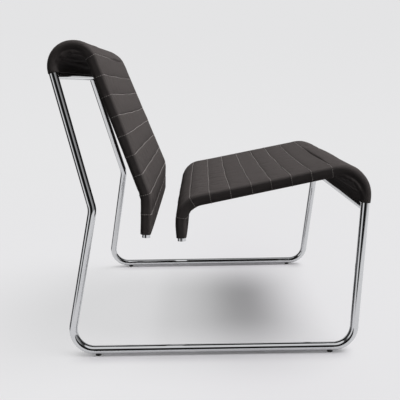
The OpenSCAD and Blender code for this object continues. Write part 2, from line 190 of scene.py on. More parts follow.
# How far each seam wanders along the sleeve from its even place: at the right edge, in the
# middle and at the left edge. Hand sewing is never quite straight.
seat_line.wander = [(0, 0, 0), (-1.5, 0, 3), (-6, -3, 0), (-5.5, -6, -1), (-3, -5, 0),
                    (-5, -5.5, -1.5), (-5, -7.5, -2), (-5.5, -8, 1.5), (-4.5, -5.5, 0)]
back_line.wander = [(0, 0, 0), (-1, -3, -6), (-1, -2, -3), (-1, -1, -5), (0, 0, -1),
                    (-1, -7, -8), (0, -5, -4.5), (-1, -6, -6.5), (-1, -5, -3)]
# How proud the thread of each seam lies: 1 rides on the fabric, 0 is pulled down into it.
seat_line.proud = [0.5, 0.4, 1, 0.6, 1, 0.3, 0.9, 1, 0.2]
back_line.proud = [0.6, 0.7, 0.4, 0.8, 1, 0.1, 1, 0.7, 0.4]
# Creases across the sitting side of each curl: distance, middle and half width as shares
# of the sleeve's half width, and depth.
seat_line.creases = [(433, -0.3, 0.42, 3.0), (480, 0.3, 0.3, 1.8)]
back_line.creases = [(433, 0.35, 0.42, 3.0)]
# Folds across the reverse side of each bend, where the fabric is pushed together:
# distance, slant and height.
seat_line.folds = [(64, 3, 1.2), (466, -6, 2.2), (492, 7, 3.0), (516, -4, 2.4)]
back_line.folds = [(96, 3, 1.0), (462, -6, 2.6), (488, 8, 3.4), (514, -5, 3.0), (538, 4, 2.0)]
# Where the puffed rim inside each curl begins and ends.
seat_line.rim, back_line.rim = (446, 548), (446, 552)
print("seams that wander:", len(seat_line.wander), "and", len(back_line.wander))

# %% [markdown]
# ## Sewing the sleeves
# A sleeve is a flat bag of fabric and foam, pulled over both tubes from their free ends, and
# sewn through every 48 mm. We could carve that out of a block, but the rule is simpler: the
# sleeve is one cross section, carried along the tubes' line. The section is round over each
# tube and nearly flat between them. A cloth simulation then blows up the fabric between the
# seams, which is what the foam does.

# %% Cross section of a sleeve
PITCH = 48 * MM
SEAMS = 9
LAST_SEAM = SEAMS * PITCH
CROWN = 1 * MM
SIT, EDGE_LEFT, REVERSE, EDGE_RIGHT = range(4)

# How far the fabric lies from the tube's centre: on the sitting side, outwards and on the
# reverse, with the radius of the corner above and below. A sleeve is padded along its run,
# and hugs the tubes where it ends.
PADDED = dict(sit=11.1, side=11.7, reverse=13.8, above=7, below=9.5)
HUGGING = dict(sit=11.1, side=11.3, reverse=12.4, above=10.8, below=10.8)


# Half the width between the tubes, for the weave's map.
WEAVE_HALF = 235 * MM
# A sleeve begins to hug its tubes so far before its far end, and then hugs them fully.
HUG_FROM, HUG_FULLY = 150 * MM, 70 * MM
# Over how many mm, before and after, a table's values are averaged.
SOFTENED = np.linspace(-12, 12, 9)


def corner_arc(centre_x, centre_q, radius, first, last, count):
    angles = np.radians(np.linspace(first, last, count))
    return np.stack([centre_x + radius * np.cos(angles), centre_q + radius * np.sin(angles)], 1)


def edge_shape(form, arc_count):
    """Points from the sitting side round the outside of a tube to the reverse side."""
    sit, side, reverse, above, below = (value * MM for value in form.values())
    top = corner_arc(side - above, sit - above, above, 90, 0, arc_count)
    low = corner_arc(side - below, below - reverse, below, 0, -90, arc_count)
    return np.concatenate([[[0, sit]], top, low, [[0, -reverse]]])


class Section:
    """The columns of a sleeve's grid: where each lies across the sleeve, and on which side."""

    def __init__(self, across, arc_count):
        shares = np.linspace(-1, 1, across + 2)[1:-1]
        count = 2 * arc_count + 2
        self.share = np.concatenate([shares, np.ones(count), shares[::-1], -np.ones(count)])
        self.side = np.repeat([SIT, EDGE_LEFT, REVERSE, EDGE_RIGHT], [across, count, across, count])
        self.edge = (self.side == EDGE_LEFT) | (self.side == EDGE_RIGHT)
        self.forms = [self.outline(form, across, arc_count) for form in (PADDED, HUGGING)]
        self.count = len(self.share)
        self.around = self.lengths()

    def outline(self, form, across, arc_count):
        """Offsets from the line of the tubes: outwards and towards the sitter."""
        edge = edge_shape(form, arc_count)
        flat = np.zeros(across)
        out = np.concatenate([flat, edge[:, 0], flat, -edge[::-1, 0]])
        high = np.concatenate([flat + form["sit"] * MM, edge[:, 1],
                               flat - form["reverse"] * MM, edge[::-1, 1]])
        return np.stack([out, high])

    def at(self, hug):
        """The offsets where the sleeve hugs its tubes by that share."""
        return self.forms[0] * (1 - hug) + self.forms[1] * hug

    def lengths(self):
        """Distance round the section to each column, for the weave."""
        out, high = self.at(0)
        x = self.share * WEAVE_HALF + out
        steps = np.hypot(np.diff(x, append=x[:1]), np.diff(high, append=high[:1]))
        return np.concatenate([[0], np.cumsum(steps)])


def smooth(value, low, high):
    t = np.clip((value - low) / (high - low), 0, 1)
    return t * t * (3 - 2 * t)


def filled(table, u):
    """A smooth value from a table of distances and offsets in mm."""
    places, values = np.array(table).T
    return np.interp(u / MM + SOFTENED, places, values).mean() * MM


def across_line(line, sitting, u, share, out, high):
    """Points across the line at the distance u, by their share of the half width, their
    distance outwards and their height towards the sitter."""
    (y, s), (ahead_y, ahead_s) = line.at(u)
    half = HALF_SPAN - s * math.sin(SIDE_LEAN)
    ahead = unit(np.array([ahead_y, ahead_s * math.cos(SIDE_LEAN)]))
    return np.stack([share * half + out, y - ORIGIN_Y - sitting * ahead[1] * high,
                     RAIL_Z + s * math.cos(SIDE_LEAN) + sitting * ahead[0] * high], 1)


def place_section(line, sitting, u, section):
    """One row of the sleeve's grid: the section stood up across the line at the distance u."""
    out, high = section.at(smooth(u, line.length - HUG_FROM, line.length - HUG_FULLY))
    sit, reverse = filled(line.sit_fill, u), filled(line.reverse_fill, u)
    high = high + np.where(high > 0, sit * high / (PADDED["sit"] * MM),
                           reverse * high / (PADDED["reverse"] * MM))
    high = high + np.where(section.side == SIT, CROWN * (1 - np.abs(section.share) ** 4), 0)
    high = high - np.where(section.side == REVERSE, filled(line.belly, u) * (1 - section.share**8), 0)
    return across_line(line, sitting, u, section.share, out, high)


def sleeve_grid(line, sitting, stations, section):
    return np.array([place_section(line, sitting, u, section) for u in stations])


coarse = Section(across=72, arc_count=6)
fine = Section(across=108, arc_count=10)
print("columns round a sleeve:", coarse.count, "for the cloth,", fine.count, "for the finished sleeve")


# %% [markdown]
# ## Blowing up the fabric
# Cloth with pressure inside swells like foam under a cover. The seams, the edges over the
# tubes and the open ends are pinned, so each channel swells by itself. The fabric is cut a
# little too wide, which makes small puckers, as sewing does. A cap keeps every point near
# the frame's own size.

# %% Meshes from grids
def grid_faces(rows, columns, offset=0):
    """Quads of a grid that is closed round its columns."""
    row, column = np.meshgrid(np.arange(rows - 1), np.arange(columns), indexing="ij")
    after = (column + 1) % columns
    quads = np.stack([row * columns + column, row * columns + after,
                      (row + 1) * columns + after, (row + 1) * columns + column], -1)
    return (quads.reshape(-1, 4) + offset).tolist()


def signed_volume(rows):
    """Volume inside a closed tube of rings, negative if its faces point inwards."""
    a, b, c, d = (rows.reshape(-1, 3)[corner] for corner in np.array(grid_faces(*rows.shape[:2])).T)
    return float((np.cross(b, c) * a).sum() + (np.cross(c, d) * a).sum()) / 6


def tube_faces(rows, offset=0, inwards=False):
    """Quads of a closed tube of rings that point outwards, or inwards as in a tunnel."""
    faces = grid_faces(*rows.shape[:2], offset)
    return [face[::-1] for face in faces] if (signed_volume(rows) < 0) != inwards else faces


def row_normals(rows):
    """Outward normals of a grid that is closed round its columns."""
    along = np.gradient(rows, axis=0)
    round_it = np.roll(rows, -1, 1) - np.roll(rows, 1, 1)
    normal = np.cross(round_it, along)
    normal /= np.linalg.norm(normal, axis=2, keepdims=True) + 1e-12
    return normal if signed_volume(rows) > 0 else -normal


def new_mesh(name, points, faces, edges=()):
    mesh = bpy.data.meshes.new(name)
    mesh.from_pydata([tuple(p) for p in points], edges, faces)
    mesh.update()
    piece = bpy.data.objects.new(name, mesh)
    bpy.context.scene.collection.objects.link(piece)
    return piece


# %% Blow up the fabric
LAST_FRAME = 20
SWELL_CAP = 2.6 * MM
DIP_CAP = 0.6 * MM
REVERSE_SWELL = 0.5
ROWS_A_CHANNEL, ROWS_PAST_LAST = 8, 23


def fabric_blown_up(rows, pinned, name):
    """The grid's points after the cloth between the pinned points has swollen."""
    count, columns = rows.shape[:2]
    ends = [list(range(columns))[::-1], [(count - 1) * columns + k for k in range(columns)]]
    bag = new_mesh(name, rows.reshape(-1, 3), grid_faces(count, columns) + ends)
    if signed_volume(rows) < 0:
        bag.data.flip_normals()
    pins = bag.vertex_groups.new(name="sewn")
    pins.add([int(i) for i in np.flatnonzero(pinned.ravel())], 1.0, "REPLACE")
    cloth = bag.modifiers.new("fabric", "CLOTH")
    rules = cloth.settings
    rules.quality = 5
    rules.mass = 0.25
    rules.tension_stiffness = rules.compression_stiffness = 18
    rules.shear_stiffness = 6
    rules.bending_stiffness = 0.6
    rules.shrink_min = rules.shrink_max = -0.012
    rules.use_pressure = True
    rules.uniform_pressure_force = 5
    rules.vertex_group_mass = "sewn"
    rules.effector_weights.gravity = 0
    cloth.collision_settings.use_collision = False
    cloth.point_cache.frame_start, cloth.point_cache.frame_end = 1, LAST_FRAME
    for number in range(1, LAST_FRAME + 1):
        bpy.context.scene.frame_set(number)
    swollen = bag.evaluated_get(bpy.context.evaluated_depsgraph_get()).to_mesh()
    points = np.empty(count * columns * 3)
    swollen.vertices.foreach_get("co", points)
    mesh = bag.data
    bpy.data.objects.remove(bag)
    bpy.data.meshes.remove(mesh)
    bpy.context.scene.frame_set(1)
    return points.reshape(rows.shape)


def swelling(line, sitting, name):
    """How far each coarse grid point moves outwards, and the stations of its rows."""
    stations = np.concatenate([np.arange(SEAMS * ROWS_A_CHANNEL) * PITCH / ROWS_A_CHANNEL,
                               np.linspace(LAST_SEAM, line.length, ROWS_PAST_LAST)])
    rows = sleeve_grid(line, sitting, stations, coarse)
    seam_row = np.isclose(stations % PITCH, 0, atol=1e-6) & (stations < LAST_SEAM + 1e-6)
    seam_row[[0, -1]] = True
    moved = fabric_blown_up(rows, seam_row[:, None] | coarse.edge, name) - rows
    lift = np.clip((moved * row_normals(rows)).sum(2), -DIP_CAP, None)
    lift = SWELL_CAP * np.tanh(lift / SWELL_CAP)
    lift = np.where(coarse.side == REVERSE, lift * REVERSE_SWELL, lift)
    print(name, "swells by", round(lift.max() / MM, 2), "mm at most, mean", round(lift.mean() / MM, 2))
    return stations, lift


# %% [markdown]
# ## The finished sleeve
# The cloth's swelling is laid on a finer grid, whose rows crowd together at the seams. There
# the thread pulls a narrow channel into the surface, with small puckers beside it. The ninth
# seam lies where the sleeve starts to curl, and is creased in its middle. Both tubes pass
# through tunnels in the sleeve, and the fabric is turned in at its ends.

# %% Rows of the finished sleeve
SEAM_STEPS = np.array([0, 0.7, 1.6, 2.8, 4.6, 7.4, 11, 15, 19.5, 24, 28.5, 33, 37, 40.6,
                       43.4, 45.2, 46.4, 47.3]) * MM
# Rows close together, where the fabric turns in at an end.
END_STEPS = np.array([0, 0.1, 0.25, 0.45, 0.7]) * MM
END_RADIUS = 0.65 * MM
CURL_STEP = 4 * MM


def fine_stations(line):
    """Where the rows of the finished sleeve lie along its line."""
    first_steps = SEAM_STEPS[SEAM_STEPS < 20 * MM]
    even_steps = np.arange(24 * MM, line.length - LAST_SEAM - 3 * MM, CURL_STEP)
    channels = (np.arange(SEAMS)[:, None] * PITCH + SEAM_STEPS).ravel()
    rows = np.concatenate([END_STEPS, channels[channels > 2.5 * MM], LAST_SEAM + first_steps,
                           LAST_SEAM + even_steps, line.length - END_STEPS])
    return np.unique(rows.round(7))


def spread(stations, lift, rows):
    """The coarse lift at the fine rows, smooth inside a channel and sharp at its seams."""
    bounds = np.concatenate([np.arange(SEAMS + 1) * PITCH, [stations[-1]]])
    out = np.zeros((len(rows), lift.shape[1]))
    for low, high in zip(bounds[:-1], bounds[1:]):
        inside = (stations > low - 1e-7) & (stations < high + 1e-7)
        u, values = stations[inside], lift[inside]
        slope = np.gradient(values, u, axis=0)
        here = (rows > low - 1e-7) & (rows < high + 1e-7)
        at = np.clip(np.searchsorted(u, rows[here], side="right") - 1, 0, len(u) - 2)
        step = (u[at + 1] - u[at])[:, None]
        t = (rows[here] - u[at])[:, None] / step
        out[here] = ((2 * t**3 - 3 * t**2 + 1) * values[at] + (t**3 - 2 * t**2 + t) * step * slope[at]
                     + (3 * t**2 - 2 * t**3) * values[at + 1] + (t**3 - t**2) * step * slope[at + 1])
    print("lift laid on", len(rows), "rows")
    return out


def to_columns(lift):
    """The coarse columns' lift at the fine columns, matched side by side."""
    out = np.zeros((len(lift), fine.count))
    for side in (SIT, REVERSE):
        a, b = coarse.side == side, fine.side == side
        order = np.argsort(coarse.share[a])
        knots = np.concatenate([[-1], coarse.share[a][order], [1]])
        for i, row in enumerate(lift[:, a][:, order]):
            out[i, b] = np.interp(fine.share[b], knots, np.concatenate([[0], row, [0]]))
    return out


# %% Puckers, channels, folds and slack
GATHERS = 5
GATHER_L = (15, 38)
GATHER_H = 1.1 * MM
ANY_PHASE = 6.3
CHANNEL_W = 1.5 * MM
CREASE_W = 2 * MM
# The thread sinks less over the tubes, and less where it rides proud.
THREAD_SINK, EDGE_SINK = 1.5 * MM, 0.5 * MM
OVER_TUBE = 0.955
RISES = 0.55


def bell(away, power=2):
    return np.exp(-away**power)


def pucker(random, u, section):
    """Small gathers that the thread pulls into the fabric beside each seam."""
    away = np.abs((u + PITCH / 2) % PITCH - PITCH / 2)
    out = np.zeros((len(u), section.count))
    for i in range(1, SEAMS + 1):
        near = np.abs(u - i * PITCH) < PITCH / 2
        waves = np.zeros(section.count)
        for _ in range(GATHERS):
            length = random.uniform(*GATHER_L) * MM
            phase = random.uniform(0, ANY_PHASE)
            waves += np.sin(section.around[:-1] / length * 2 * math.pi + phase) / GATHERS
        fade = np.exp(-away[near] / (7 * MM)) * (1 - np.exp(-away[near] / CHANNEL_W))
        out[near] = fade[:, None] * waves * GATHER_H
    out[:, section.edge] *= 0.35
    return out


def channel(line, u, section):
    """Depth of the sewn channels, and of the creases across the curl."""
    near = np.clip(np.rint(u / PITCH).astype(int), 1, SEAMS)
    tight = 1 - RISES * np.array(line.proud)[near - 1]
    depth = (tight * bell((u - near * PITCH) / CHANNEL_W))[:, None]
    depth = depth * np.where(np.abs(section.share) > OVER_TUBE, EDGE_SINK, THREAD_SINK)
    for place, middle, half, deep in line.creases:
        across = np.where(section.side == SIT, bell(np.abs(section.share - middle) / half, 4), 0)
        depth = depth + deep * MM * bell((u - place * MM) / CREASE_W)[:, None] * across
    return depth


def folds(line, u, section):
    """Folds across the reverse side of a bend, each with a hollow beside it, and the puffed
    rim at their ends."""
    low = np.clip(-section.at(0)[1] / (PADDED["reverse"] * MM), 0, 1)
    reach = smooth(low, 0.55, 0.95)
    out = np.zeros((len(u), section.count))
    for place, slant, height in line.folds:
        away = u[:, None] / MM - place - slant * np.sin(section.share * 2.2)
        out += height * MM * (bell(away / 6.5) - 0.6 * bell((away - 12) / 5)) * reach
    start, end = line.rim
    along = np.sin(np.clip((u / MM - start) / (end - start), 0, 1) * math.pi)[:, None]
    puff = 4.5 * bell((low - 0.82) / 0.14) - 2.6 * bell((low - 0.5) / 0.09)
    return out + along * np.where(section.edge, puff, 0) * MM


def wander(line, u, section):
    """How far each grid point is moved along the sleeve, so that the seams wander."""
    share, still = section.share, 40 * MM
    table = np.array([(0, 0, 0)] + line.wander + [(0, 0, 0)]) * MM
    places = np.concatenate([np.arange(SEAMS + 1) * PITCH, [line.length]])
    right, middle, left = (np.interp(u, places, table[:, k])[:, None] for k in range(3))
    bent = middle * (1 - share**2) + (left - right) / 2 * share + (left + right) / 2 * share**2
    wave = 0.5 * MM * np.sin(share * 9 + (u / PITCH)[:, None] * 2.1) * (1 - np.abs(share) ** 8)
    between_ends = smooth(u, 0, still) * (1 - smooth(u, line.length - still, line.length))
    return bent + wave * between_ends[:, None]


def hanging(line, u, section):
    """How far the free edge between the tubes hangs below the edge at the tubes."""
    beside, middle = line.hang
    share = np.abs(section.share)
    low = (beside + (middle - beside) * (1 - share**2)) * MM * (1 - smooth(share, 0.95, 0.999))
    low = low * np.where(section.side == REVERSE, 1.0, 0.9)
    return smooth(u, line.length - HUG_FULLY, line.length)[:, None] * low


def end_turn(line, u):
    """How far the outline draws in where the fabric turns in at an end."""
    gap = np.clip(1 - np.minimum(u, line.length - u) / END_RADIUS, 0, 1)
    return END_RADIUS * (1 - np.sqrt(1 - gap**2))


# %% Tunnels and turned-in ends
HOLE_R = TUBE_R + 0.25 * MM
HOLE_SIDES = 28
TUNNEL_STEP = 5 * MM


def tunnel(line, sitting, side, stations):
    """Rings of the tunnel round one tube."""
    angles = np.arange(HOLE_SIDES) * 2 * math.pi / HOLE_SIDES
    out, high = HOLE_R * np.cos(angles), HOLE_R * np.sin(angles)
    return np.array([across_line(line, sitting, u, side, out, high) for u in stations])


def inside(place, loop):
    """Whether a place lies inside a closed loop, in their plane."""
    a, b = loop - place, np.roll(loop, -1, 0) - place
    crossing = (a[:, 1] > 0) != (b[:, 1] > 0)
    a, b = a[crossing], b[crossing]
    ahead = a[:, 0] - a[:, 1] * (b[:, 0] - a[:, 0]) / (b[:, 1] - a[:, 1]) > 0
    return np.count_nonzero(ahead) % 2 == 1


def close_end(points, outline, holes, centre, across, up):
    """Triangles between an outline and the holes inside it, all in one plane."""
    loops = [outline, *holes]
    index = [i for loop in loops for i in loop]
    flat = [(points[loop] - centre) @ np.stack([across, up], 1) for loop in loops]
    edges, start = [], 0
    for loop in loops:
        edges += [(start + k, start + (k + 1) % len(loop)) for k in range(len(loop))]
        start += len(loop)
    corners = [Vector(place) for place in np.concatenate(flat)]
    result = delaunay_2d_cdt(corners, edges, [], 1, 1e-7, True)
    source = [ids[0] for ids in result[3]]
    faces = []
    for face in result[2]:
        middle = np.mean([result[0][k] for k in face], 0)
        if inside(middle, flat[0]) and not any(inside(middle, ring) for ring in flat[1:]):
            faces.append([index[source[k]] for k in face])
    return faces


def outward(points, faces, direction):
    """The same triangles, turned so that they face the given direction."""
    turned = []
    for face in faces:
        a, b, c = (points[i] for i in face[:3])
        turned.append(face if np.cross(b - a, c - a) @ direction > 0 else face[::-1])
    return turned


# %% Build one sleeve
RIGHT = np.array([1.0, 0, 0])
THREAD_PROUD = 0.6 * MM
CREASE_PULL = 2 * MM


def shape_rows(name, line, sitting, seed):
    """The sleeve's rows with all that its fabric does, their distances along the line, and
    the directions in which they face."""
    random = np.random.default_rng(seed)
    stations, lift = swelling(line, sitting, name + "_bag")
    u = fine_stations(line)
    rows = sleeve_grid(line, sitting, u, fine)
    moved = u[:, None] + wander(line, u, fine)
    for column in range(fine.count):
        rows[:, column] = np.stack([np.interp(moved[:, column], u, rows[:, column, axis])
                                    for axis in range(3)], 1)
    normals = row_normals(rows)
    along = np.gradient(rows, u, axis=0)
    lift = to_columns(spread(stations, lift, u)) + pucker(random, u, fine) - channel(line, u, fine)
    lift = lift + folds(line, u, fine) - end_turn(line, u)[:, None]
    rows = rows + normals * lift[:, :, None] + along * hanging(line, u, fine)[:, :, None]
    return rows, moved, u, normals


def seam_rows(line, rows, u, normals):
    """Where the thread of each seam runs, and how it faces. The last seam dips in its crease."""
    at = [np.argmin(np.abs(u - i * PITCH)) for i in range(1, SEAMS + 1)]
    raised = np.repeat(np.array(line.proud)[:, None] * THREAD_PROUD, fine.count, 1)
    _, middle, half, _ = line.creases[0]
    raised[-1] -= CREASE_PULL * bell(np.abs(fine.share - middle) / (half + 0.15), 6) * (fine.side == SIT)
    return rows[at] + normals[at] * raised[:, :, None], normals[at]


def build_sleeve(name, line, sitting, seed):
    """The closed sleeve with the map that its weave follows, and its seams."""
    rows, moved, u, normals = shape_rows(name, line, sitting, seed)
    count, columns = rows.shape[:2]
    points, faces, holes = rows.reshape(-1, 3), tube_faces(rows), []
    for side in (1, -1):
        rings = tunnel(line, sitting, side, [*np.arange(0, line.length, TUNNEL_STEP), line.length])
        faces += tube_faces(rings, len(points), inwards=True)
        holes.append((len(points), len(points) + (len(rings) - 1) * HOLE_SIDES))
        points = np.concatenate([points, rings.reshape(-1, 3)])
    for end, first, step in ((0, 0, rows[0] - rows[1]), (1, (count - 1) * columns, rows[-1] - rows[-2])):
        outline = list(range(first, first + columns))
        rims = [list(range(hole[end], hole[end] + HOLE_SIDES)) for hole in holes]
        ahead = unit(step.mean(0))
        cap = close_end(points, outline, rims, points[outline].mean(0), RIGHT, np.cross(ahead, RIGHT))
        faces += outward(points, cap, ahead)
    sleeve = new_mesh(name, points, faces)
    sleeve.data.shade_smooth()
    write_weave_map(sleeve, moved, count, columns)
    print(name, "has", len(points), "points and", len(faces), "faces")
    return sleeve, *seam_rows(line, rows, u, normals)


def write_weave_map(sleeve, moved, count, columns):
    """A UV map in metres: distance round the section, and distance along the line."""
    mesh = sleeve.data
    corner_vertex = np.empty(len(mesh.loops), int)
    mesh.loops.foreach_get("vertex_index", corner_vertex)
    row, column = corner_vertex // columns, corner_vertex % columns
    on_grid = corner_vertex < count * columns
    across = fine.around[np.where(on_grid, column, 0)]
    along = moved[np.where(on_grid, row, 0), np.where(on_grid, column, 0)]
    sizes = np.empty(len(mesh.polygons), int)
    mesh.polygons.foreach_get("loop_total", sizes)
    face = np.repeat(np.arange(len(sizes)), sizes)
    # A face that closes the round takes the full distance in place of zero.
    has_last = np.zeros(len(sizes), bool)
    np.logical_or.at(has_last, face, on_grid & (column == columns - 1))
    across = np.where(has_last[face] & on_grid & (column == 0), fine.around[-1], across)
    weave = mesh.uv_layers.new(name="weave")
    weave.data.foreach_set("uv", np.stack([across, along], 1).ravel())


seat_sleeve, seat_seams, seat_seam_normals = build_sleeve("seat_quilted_sleeve", seat_line, -1, 7)
back_sleeve, back_seams, back_seam_normals = build_sleeve("back_quilted_sleeve", back_line, 1, 11)


# %% [markdown]
# ## Binding strips
# At each free end the sleeve is closed between the tubes by a strip of binding. It could be
# a flat ribbon, but a real one is folded over at its edges, so each strip is a shallow
# pillow with rolled edges.

# %% Fold the binding strips
STRIP_HALF_W, STRIP_HALF_T = 9.4 * MM, 0.9 * MM
STRIP_PLAY = 1.2 * MM
STRIP_FOLDS, STRIP_RINGS = 28, 101


def rounded(wave, power):
    """A sine or cosine made squarer by a power below 1."""
    return np.sign(wave) * np.abs(wave) ** power


def binding_strip(name, line, strip_node):
    """A folded ribbon across the open end, between the tubes, narrower at its two ends."""
    low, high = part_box(strip_node)
    half = min(-low.x, high.x) - STRIP_PLAY
    (y, s), (ahead_y, ahead_s) = line.at(0)
    ahead = unit(np.array([0, ahead_y, ahead_s * math.cos(SIDE_LEAN)]))
    over = np.cross(ahead, RIGHT)
    middle = np.array([0, y - ORIGIN_Y, RAIL_Z + s * math.cos(SIDE_LEAN)])
    turn = np.arange(STRIP_FOLDS) * 2 * math.pi / STRIP_FOLDS
    width = STRIP_HALF_W * rounded(np.cos(turn), 0.35)
    thickness = STRIP_HALF_T * rounded(np.sin(turn), 0.8)
    thickness *= 1 + 0.35 * (np.abs(width) > STRIP_HALF_W * 0.86)
    rows = []
    for share in np.linspace(-1, 1, STRIP_RINGS):
        draw = (1 - abs(share) ** 40) * 0.12 + 0.88
        ripple = 0.18 * MM * math.sin(share * 61) * math.sin(share * 17 + 1)
        rows.append(middle + RIGHT * share * half + np.outer(width * draw, over)
                    - np.outer(thickness * draw - ripple, ahead))
    rows = np.array(rows)
    faces = tube_faces(rows)
    points = np.concatenate([rows.reshape(-1, 3), [rows[0].mean(0), rows[-1].mean(0)]])
    for end, first in ((0, 0), (1, (STRIP_RINGS - 1) * STRIP_FOLDS)):
        fan = [[first + k, first + (k + 1) % STRIP_FOLDS, STRIP_RINGS * STRIP_FOLDS + end]
               for k in range(STRIP_FOLDS)]
        faces += outward(points, fan, RIGHT if end else -RIGHT)
    strip = new_mesh(name, points, faces)
    strip.data.shade_smooth()
    print(name, "is", round(2 * half, 3), "m long and", round(2 * STRIP_HALF_W, 3), "m wide")
    return strip


seat_strip = binding_strip("seat_binding_strip", seat_line, "seat_hem_strip")
back_strip = binding_strip("back_binding_strip", back_line, "back_hem_strip")

# %% [markdown]
# ## Stitches
# Every seam is a row of some two hundred stitches of light thread. Placing them one by one
# would be endless, so Geometry Nodes walk along each seam and set down a stitch every 5 mm,
# turned to lie on the fabric and slightly askew, as a sewing machine leaves them.

# %% Write down where the seams run
def seam_lines(name, seams, normals):
    """A mesh of closed lines, each point with its outward direction."""
    count = seams.shape[1]
    edges = [(i * count + k, i * count + (k + 1) % count)
             for i in range(len(seams)) for k in range(count)]
    lines = new_mesh(name, seams.reshape(-1, 3), [], edges)
    outwards = lines.data.attributes.new("outwards", "FLOAT_VECTOR", "POINT")
    outwards.data.foreach_set("vector", normals.reshape(-1, 3).ravel())
    return lines


# %% The tree that sews
STITCH_PITCH, STITCH_L = 5 * MM, 4.5 * MM


def sewing_tree(thread_finish):
    """Nodes that set a stitch, a stretched bead, at every pitch along each seam."""
    tree = bpy.data.node_groups.new("sewing", "GeometryNodeTree")
    face = tree.interface
    face.new_socket("Seams", in_out="INPUT", socket_type="NodeSocketGeometry")
    sizes = {"Pitch": STITCH_PITCH, "Length": STITCH_L, "Width": 1.45 * MM, "Height": 1.1 * MM,
             "Raised": 0.3 * MM, "Askew": 0.12, "Seed": 4}
    for label, value in sizes.items():
        kind = "NodeSocketInt" if label == "Seed" else "NodeSocketFloat"
        face.new_socket(label, in_out="INPUT", socket_type=kind).default_value = value
    face.new_socket("Stitches", in_out="OUTPUT", socket_type="NodeSocketGeometry")

    def add(kind, settings=None, **links):
        """A node's outputs. An input is named by its label, or by n and its number."""
        node = tree.nodes.new(kind)
        for key, value in (settings or {}).items():
            setattr(node, key, value)
        for key, value in links.items():
            socket = node.inputs[int(key[1:]) if key[1:].isdigit() else key.replace("_", " ")]
            if isinstance(value, bpy.types.NodeSocket):
                tree.links.new(value, socket)
            else:
                socket.default_value = value
        return node.outputs

    given = add("NodeGroupInput")
    curve = add("GeometryNodeMeshToCurve", Mesh=given["Seams"])
    path = add("GeometryNodeResampleCurve", {"mode": "LENGTH"}, Curve=curve[0], Length=given["Pitch"])
    outwards = add("GeometryNodeInputNamedAttribute", {"data_type": "FLOAT_VECTOR"}, Name="outwards")
    tangent = add("GeometryNodeInputTangent")
    along = add("FunctionNodeAlignRotationToVector", {"axis": "X"}, Vector=tangent[0])
    upright = add("FunctionNodeAlignRotationToVector", {"axis": "Z", "pivot_axis": "X"},
                  Rotation=along[0], Vector=outwards["Attribute"])
    least = add("ShaderNodeMath", {"operation": "MULTIPLY"}, n0=given["Askew"], n1=0.3)
    chance = add("FunctionNodeRandomValue", {"data_type": "FLOAT"}, n2=least[0], n3=given["Askew"],
                 Seed=given["Seed"])
    turn = add("ShaderNodeCombineXYZ", Z=chance[1])
    as_rotation = add("FunctionNodeEulerToRotation", Euler=turn[0])
    askew = add("FunctionNodeRotateRotation", {"rotation_space": "LOCAL"},
                Rotation=upright[0], Rotate_By=as_rotation[0])
    bead = add("GeometryNodeMeshUVSphere", Segments=7, Rings=5, Radius=0.5)
    size = add("ShaderNodeCombineXYZ", X=given["Length"], Y=given["Width"], Z=given["Height"])
    stitch = add("GeometryNodeTransform", Geometry=bead[0], Scale=size[0])
    raised = add("ShaderNodeCombineXYZ", Z=given["Raised"])
    raised_stitch = add("GeometryNodeTransform", Geometry=stitch[0], Translation=raised[0])
    sewn = add("GeometryNodeInstanceOnPoints", Points=path[0], Instance=raised_stitch[0],
               Rotation=askew[0])
    solid = add("GeometryNodeRealizeInstances", Geometry=sewn[0])
    rounded_off = add("GeometryNodeSetShadeSmooth", Geometry=solid[0])
    finished = add("GeometryNodeSetMaterial", Geometry=rounded_off[0], Material=thread_finish)
    add("NodeGroupOutput", Stitches=finished[0])
    print("nodes that sew:", len(tree.nodes))
    return tree


def sew(name, seams, normals, tree):
    """Real stitches along the seams, as a plain mesh."""
    lines = seam_lines(name + "_lines", seams, normals)
    sewing = lines.modifiers.new("sewing", "NODES")
    sewing.node_group = tree
    sockets = {item.name: item.identifier for item in tree.interface.items_tree
               if item.in_out == "INPUT"}
    sewing[sockets["Pitch"]] = STITCH_PITCH
    sewing[sockets["Length"]] = STITCH_L
    sewn = lines.evaluated_get(bpy.context.evaluated_depsgraph_get())
    mesh = bpy.data.meshes.new_from_object(sewn)
    stitches = bpy.data.objects.new(name, mesh)
    bpy.context.scene.collection.objects.link(stitches)
    bpy.data.objects.remove(lines)
    print(name, "has", sum(len(p.vertices) - 2 for p in mesh.polygons), "triangles")
    return stitches


# %% [markdown]
# ## Finishes
# Each finish is a Principled shader. Its constant values are set on the shader itself, and
# only what changes over the surface is wired: colour, roughness and bump. Wiring by hand is
# long-winded, so a small class lets us write shader maths as plain expressions.

# %% Shader maths as expressions
class Signal:
    """A value in a shader. Arithmetic on it adds Math nodes."""

    def __init__(self, tree, socket):
        self.tree, self.socket = tree, socket

    def math(self, operation, *values):
        node = self.tree.nodes.new("ShaderNodeMath")
        node.operation = operation
        for socket, value in zip(node.inputs, values):
            wire(self.tree, socket, value)
        return Signal(self.tree, node.outputs[0])

    def __add__(self, other):
        return self.math("ADD", self, other)

    def __sub__(self, other):
        return self.math("SUBTRACT", self, other)

    def __rsub__(self, other):
        return self.math("SUBTRACT", other, self)

    def __mul__(self, other):
        return self.math("MULTIPLY", self, other)

    def __truediv__(self, other):
        return self.math("DIVIDE", self, other)

    def __rtruediv__(self, other):
        return self.math("DIVIDE", other, self)

    def __pow__(self, other):
        return self.math("POWER", self, other)

    def __rpow__(self, other):
        return self.math("POWER", other, self)

    __radd__, __rmul__ = __add__, __mul__

    def angle_to(self, other):
        return self.math("ARCTAN2", self, other)

    def sine(self):
        return self.math("SINE", self)

    def size(self):
        return self.math("ABSOLUTE", self)

    def fraction(self):
        return self.math("FRACT", self)

    def floor(self):
        return self.math("FLOOR", self)


